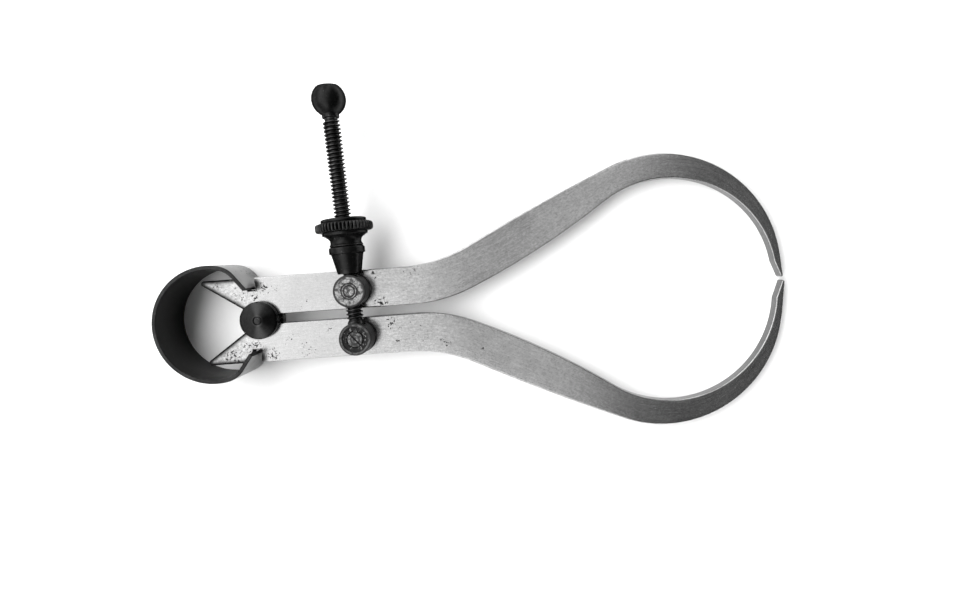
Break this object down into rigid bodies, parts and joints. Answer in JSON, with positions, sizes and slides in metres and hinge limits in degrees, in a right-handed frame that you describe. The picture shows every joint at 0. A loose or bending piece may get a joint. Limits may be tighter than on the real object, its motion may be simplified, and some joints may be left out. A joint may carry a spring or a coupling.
{
  "type": "outside spring caliper",
  "caption": "Outside spring caliper: two bowed flat legs on a fulcrum stud, sprung by a C-shaped bow spring and closed by a knurled nut on a ball-ended screw between swivel posts.",
  "frame": {"origin": "centre of the fulcrum stud's flat underside, on the axis both legs turn about", "axes": "+X from the fulcrum to the tips; +Y towards the leg with the knurled nut; +Z from the underside to the side with the screw posts"},
  "size_m": [0.1792, 0.1022, 0.0218],
  "materials": {
    "ground_steel": "flat ground lengthwise, light pitting near the fulcrum",
    "blued_spring_steel": "blued, satin",
    "blackened_steel": "black oxide on turned steel, satin",
    "worn_steel": "black finish worn to bright metal"
  },
  "bodies": {
    "fulcrum": {"fulcrum_stud": "blackened_steel", "fulcrum_roller": "blackened_steel", "fulcrum_cap": "blackened_steel"},
    "leg_upper": {"leg_upper": "ground_steel"},
    "leg_lower": {"leg_lower": "ground_steel"},
    "bow_spring": {"bow_spring": "blued_spring_steel"},
    "post_upper": {"post_upper": "blackened_steel", "post_upper_washer": "blackened_steel", "post_upper_rivet_washer": "blackened_steel", "thrust_sleeve": "blackened_steel"},
    "post_lower": {"post_lower": "blackened_steel", "post_lower_washer": "blackened_steel", "post_lower_rivet_washer": "blackened_steel", "anchor_screw": "worn_steel", "adjusting_screw": "blackened_steel", "ball_stop": "blackened_steel"},
    "nut": {"knurled_nut": "blackened_steel"}
  },
  "joints": [
    {"name": "leg_upper_hinge", "type": "hinge", "parent": "fulcrum", "child": "leg_upper", "pos_m": [0, 0, 0.004], "axis": [0, 0, 1], "range_deg": [-0.15, 29.8]},
    {"name": "leg_lower_hinge", "type": "hinge", "parent": "fulcrum", "child": "leg_lower", "pos_m": [0, 0, 0.004], "axis": [0, 0, -1], "range_deg": [-0.2, 29.9]},
    {"name": "spring_shift", "type": "slide", "parent": "fulcrum", "child": "bow_spring", "axis": [-1, 0, 0], "range_m": [-0.0001, 0.006]},
    {"name": "post_upper_swivel", "type": "hinge", "parent": "leg_upper", "child": "post_upper", "pos_m": [0.02797, 0.0067, 0.0099], "axis": [0, 0, -1], "range_deg": [-0.3, 32]},
    {"name": "post_lower_swivel", "type": "hinge", "parent": "leg_lower", "child": "post_lower", "pos_m": [0.02843, -0.0067, 0.0099], "axis": [0, 0, 1], "range_deg": [-0.3, 30]},
    {"name": "nut_spin", "type": "hinge", "parent": "post_upper", "child": "nut", "pos_m": [0.02797, 0.0067, 0.0099], "axis": [-0.0343, 0.9994, 0], "range_deg": [-60, 9000]}
  ],
  "couplings": [
    {"joint": "leg_lower_hinge", "follows": "leg_upper_hinge", "ratio": 1},
    {"joint": "spring_shift", "follows": "leg_upper_hinge", "m_per_rad": 0.011152},
    {"joint": "post_upper_swivel", "follows": "leg_upper_hinge", "ratio": 1.0466},
    {"joint": "post_lower_swivel", "follows": "leg_upper_hinge", "ratio": 0.95338},
    {"joint": "nut_spin", "follows": "leg_upper_hinge", "ratio": 299.65}
  ]
}
